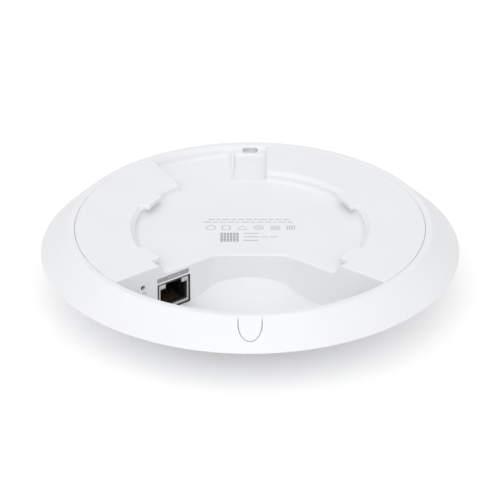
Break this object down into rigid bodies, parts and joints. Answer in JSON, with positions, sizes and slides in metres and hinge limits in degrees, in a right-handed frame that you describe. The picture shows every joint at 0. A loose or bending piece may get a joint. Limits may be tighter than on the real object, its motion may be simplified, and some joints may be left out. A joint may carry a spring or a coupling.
{
  "type": "ceiling access point",
  "caption": "Round ceiling access point: shallow front dome, conical rear bezel, back cover with bayonet bracket recess, cable bay with network jack, reset button and cable notch plug.",
  "frame": {"origin": "lowest point of the front dome, on the body's vertical axis", "axes": "+Z from the dome to the ceiling side (the mounting face), +Y from the cable notch towards the bracket lock channel, +X to the right seen from the notch with the ceiling side up"},
  "size_m": [0.171, 0.171, 0.033],
  "materials": {
    "shell_white": "fine matt moulded white ABS/PC",
    "dome_white": "satin moulded white ABS/PC",
    "plug_white": "fine matt moulded white ABS/PC",
    "shield_nickel": "dull nickel-plated sheet",
    "insulator_black": "matt black PBT",
    "contact_gold": "gold flash over phosphor bronze",
    "light_pipe": "milky clear polycarbonate",
    "label_grey": "printed grey film, blank",
    "board": "solder-masked glass-epoxy",
    "chip": "moulded epoxy package",
    "tin_can": "tin-plated sheet",
    "aluminium": "blanked sheet, as rolled",
    "thermal_pad": "soft filled silicone",
    "antenna_tin": "tinned brass sheet",
    "screw_steel": "zinc-plated",
    "ferrite": "sintered ferrite",
    "winding_tape": "polyester tape",
    "capacitor_sleeve": "heat-shrunk sleeve",
    "button_black": "moulded black nylon"
  },
  "bodies": {
    "housing": {"antenna_1": "antenna_tin", "antenna_2": "antenna_tin", "antenna_3": "antenna_tin", "antenna_4": "antenna_tin", "back_cover": "shell_white", "board_screw_1": "screw_steel", "board_screw_2": "screw_steel", "board_screw_3": "screw_steel", "board_screw_4": "screw_steel", "capacitor_1": "capacitor_sleeve", "capacitor_2": "capacitor_sleeve", "capacitor_3": "capacitor_sleeve", "crystal": "tin_can", "flash_chip": "chip", "front_dome": "dome_white", "heat_spreader": "aluminium", "jack_insulator": "insulator_black", "jack_light_pipe_left": "light_pipe", "jack_light_pipe_right": "light_pipe", "jack_shield": "shield_nickel", "lan_transformer": "chip", "main_board": "board", "memory_chip": "chip", "poe_controller": "chip", "poe_transformer_core": "ferrite", "poe_transformer_winding": "winding_tape", "port_label": "label_grey", "power_inductor_1": "ferrite", "power_inductor_2": "ferrite", "processor": "chip", "rear_bezel": "shell_white", "reset_switch": "chip", "shield_can_2g": "tin_can", "shield_can_5g": "tin_can", "spreader_post_1": "screw_steel", "spreader_post_2": "screw_steel", "spreader_post_3": "screw_steel", "spreader_post_4": "screw_steel", "status_led": "light_pipe", "status_light_pipe": "light_pipe", "thermal_pad": "thermal_pad"},
    "notch_plug": {"cable_notch_plug": "plug_white"},
    "reset_plunger": {"reset_button": "button_black"},
    "jack_contacts": {"jack_contact_1": "contact_gold", "jack_contact_2": "contact_gold", "jack_contact_3": "contact_gold", "jack_contact_4": "contact_gold", "jack_contact_5": "contact_gold", "jack_contact_6": "contact_gold", "jack_contact_7": "contact_gold", "jack_contact_8": "contact_gold"}
  },
  "joints": [
    {"name": "notch_plug_slide", "type": "slide", "parent": "housing", "child": "notch_plug", "axis": [0, 0, 1], "range_m": [0, 0.012]},
    {"name": "reset_press", "type": "slide", "parent": "housing", "child": "reset_plunger", "axis": [-0.6166, 0.7873, 0], "range_m": [0, 0.0003]},
    {"name": "contact_flex", "type": "hinge", "parent": "housing", "child": "jack_contacts", "pos_m": [-0.03176, -0.02811, 0.01375], "axis": [-0.7873, -0.6166, 0], "range_deg": [0, 10]}
  ]
}
